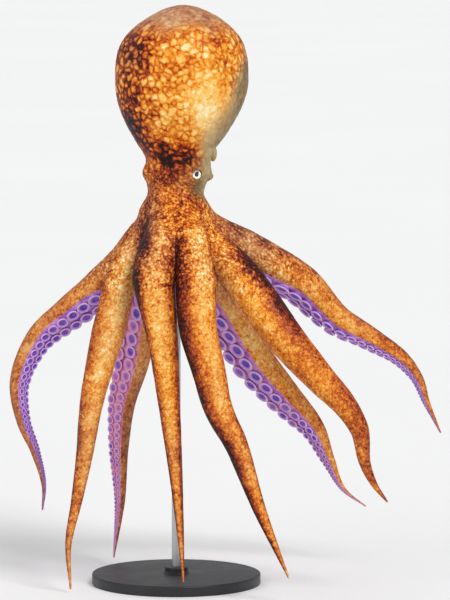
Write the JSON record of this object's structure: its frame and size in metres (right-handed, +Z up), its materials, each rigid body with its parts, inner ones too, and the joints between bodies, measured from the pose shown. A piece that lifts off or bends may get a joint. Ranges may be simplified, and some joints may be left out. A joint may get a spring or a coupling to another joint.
{
  "type": "common octopus museum model",
  "caption": "Life-size still model of a common octopus hanging upright, pear-shaped mantle over a crown of spread, tapering sucker-lined arms, held by a round base and a slim rod.",
  "frame": {"origin": "middle of the underside of the stand's base, on the floor", "axes": "+Z up through the mantle; -Y towards the front of the stand, which the animal's first arm pair hangs over; +X towards the animal's left arms"},
  "size_m": [0.4893, 0.2921, 0.6484],
  "materials": {
    "skin": "moist skin, orange-brown with cream patches in a net of darker lines, dark red-brown blotches, and a violet sucker side",
    "suckers": "soft satin, lilac cups with deep blue-violet rings",
    "eye": "glossy cornea over a pale iris with a dark pupil",
    "stand_base": "satin black paint on a turned steel disc",
    "stand_rod": "brushed"
  },
  "bodies": {
    "root": {"mantle": "skin", "head": "skin", "funnel": "skin", "eye_left": "eye", "eye_right": "eye", "crown": "skin", "arm_right_1_a": "skin", "arm_right_1_b": "skin", "arm_right_1_c": "skin", "arm_left_1_a": "skin", "arm_left_1_b": "skin", "arm_left_1_c": "skin", "arm_right_2_a": "skin", "arm_right_2_b": "skin", "arm_right_2_c": "skin", "arm_left_2_a": "skin", "arm_left_2_b": "skin", "arm_left_2_c": "skin", "arm_right_3_a": "skin", "arm_right_3_b": "skin", "arm_right_3_c": "skin", "arm_left_3_a": "skin", "arm_left_3_b": "skin", "arm_left_3_c": "skin", "arm_right_4_a": "skin", "arm_right_4_b": "skin", "arm_right_4_c": "skin", "arm_left_4_a": "skin", "arm_left_4_b": "skin", "arm_left_4_c": "skin", "stand_base": "stand_base", "stand_rod": "stand_rod"}
  },
  "joints": []
}
